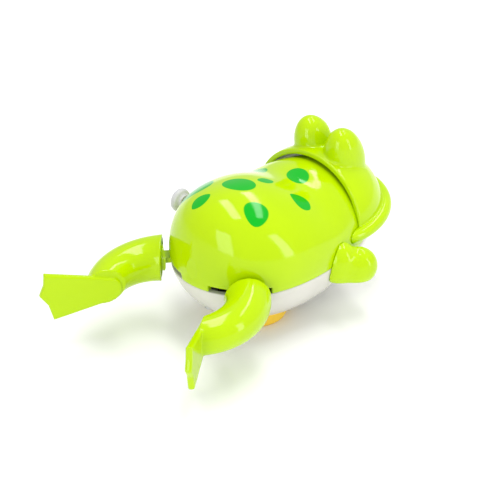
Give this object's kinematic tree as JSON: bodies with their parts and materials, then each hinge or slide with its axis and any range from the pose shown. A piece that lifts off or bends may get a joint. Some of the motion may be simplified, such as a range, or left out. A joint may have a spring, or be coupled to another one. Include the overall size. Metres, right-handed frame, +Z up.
{
  "type": "wind-up swimming frog toy",
  "caption": "Clockwork bath frog: plastic body shells with a head cap, a winding knob on the flank, and legs that kick level through slots at the seam.",
  "frame": {"origin": "on the ground, at the middle of the ballast cap's flat underside", "axes": "+Z up, head towards -Y, the frog's left side and the winding knob towards +X"},
  "size_m": [0.0728, 0.1302, 0.0612],
  "materials": {
    "lime_plastic": "glossy moulded plastic, lime green",
    "spotted_lime_plastic": "glossy moulded plastic, lime green with printed dark green spots",
    "white_plastic": "glossy moulded plastic, white",
    "yellow_plastic": "glossy moulded plastic, warm yellow",
    "eye_plastic": "glossy white plastic with a printed black pupil",
    "knob_plastic": "glossy moulded plastic, cool white",
    "natural_plastic": "natural acetal, satin",
    "motor_plastic": "satin amber plastic",
    "foam": "closed-cell foam",
    "steel": "drawn steel",
    "spring_steel": "blued spring steel",
    "brass": "turned brass"
  },
  "bodies": {
    "body": {"back_shell": "spotted_lime_plastic", "belly_shell": "white_plastic", "head_cap": "lime_plastic", "eye_left": "eye_plastic", "eye_right": "eye_plastic", "arm_left": "lime_plastic", "arm_right": "lime_plastic", "ballast_cap": "yellow_plastic", "ballast_weight": "steel", "foam_float": "foam", "shell_screws": "steel", "motor_plate_left": "motor_plastic", "motor_plate_right": "motor_plastic", "motor_screws": "steel", "mainspring": "spring_steel", "pivot_pin_left": "steel", "pivot_pin_right": "steel", "second_pin": "steel", "governor_pin": "steel"},
    "winder": {"winding_knob": "knob_plastic", "spring_arbor": "steel", "great_wheel": "natural_plastic"},
    "second": {"second_wheel": "natural_plastic"},
    "crank": {"crank_wheel": "natural_plastic", "crank_shaft": "steel", "crank_disc": "natural_plastic"},
    "governor": {"governor_wheel": "brass"},
    "yoke": {"drive_yoke": "natural_plastic"},
    "left_leg": {"lever_left": "lime_plastic", "leg_left": "lime_plastic"},
    "right_leg": {"lever_right": "lime_plastic", "leg_right": "lime_plastic"}
  },
  "joints": [
    {"name": "winding", "type": "hinge", "parent": "body", "child": "winder", "pos_m": [0, 0.006, 0.0365], "axis": [1, 0, 0], "continuous": true},
    {"name": "second_spin", "type": "hinge", "parent": "body", "child": "second", "pos_m": [0, -0.004, 0.0365], "axis": [1, 0, 0], "continuous": true},
    {"name": "crank_spin", "type": "hinge", "parent": "body", "child": "crank", "pos_m": [0, -0.012, 0.0305], "axis": [1, 0, 0], "continuous": true},
    {"name": "governor_spin", "type": "hinge", "parent": "body", "child": "governor", "pos_m": [0, -0.01893, 0.0345], "axis": [1, 0, 0], "continuous": true},
    {"name": "kick_left", "type": "hinge", "parent": "body", "child": "left_leg", "pos_m": [0.003, 0.004, 0.0248], "axis": [0, 0, 1], "range_deg": [-10, 20]},
    {"name": "kick_right", "type": "hinge", "parent": "body", "child": "right_leg", "pos_m": [-0.003, 0.004, 0.0248], "axis": [0, 0, 1], "range_deg": [-20, 10]},
    {"name": "yoke_slide", "type": "slide", "parent": "body", "child": "yoke", "axis": [0, 1, 0], "range_m": [-0.00144, 0.00287]}
  ],
  "couplings": [
    {"joint": "second_spin", "follows": "winding", "ratio": -3},
    {"joint": "crank_spin", "follows": "winding", "ratio": 9},
    {"joint": "governor_spin", "follows": "winding", "ratio": -27},
    {"joint": "kick_right", "follows": "kick_left", "ratio": -1},
    {"joint": "yoke_slide", "follows": "kick_left", "m_per_rad": 0.0082124}
  ]
}
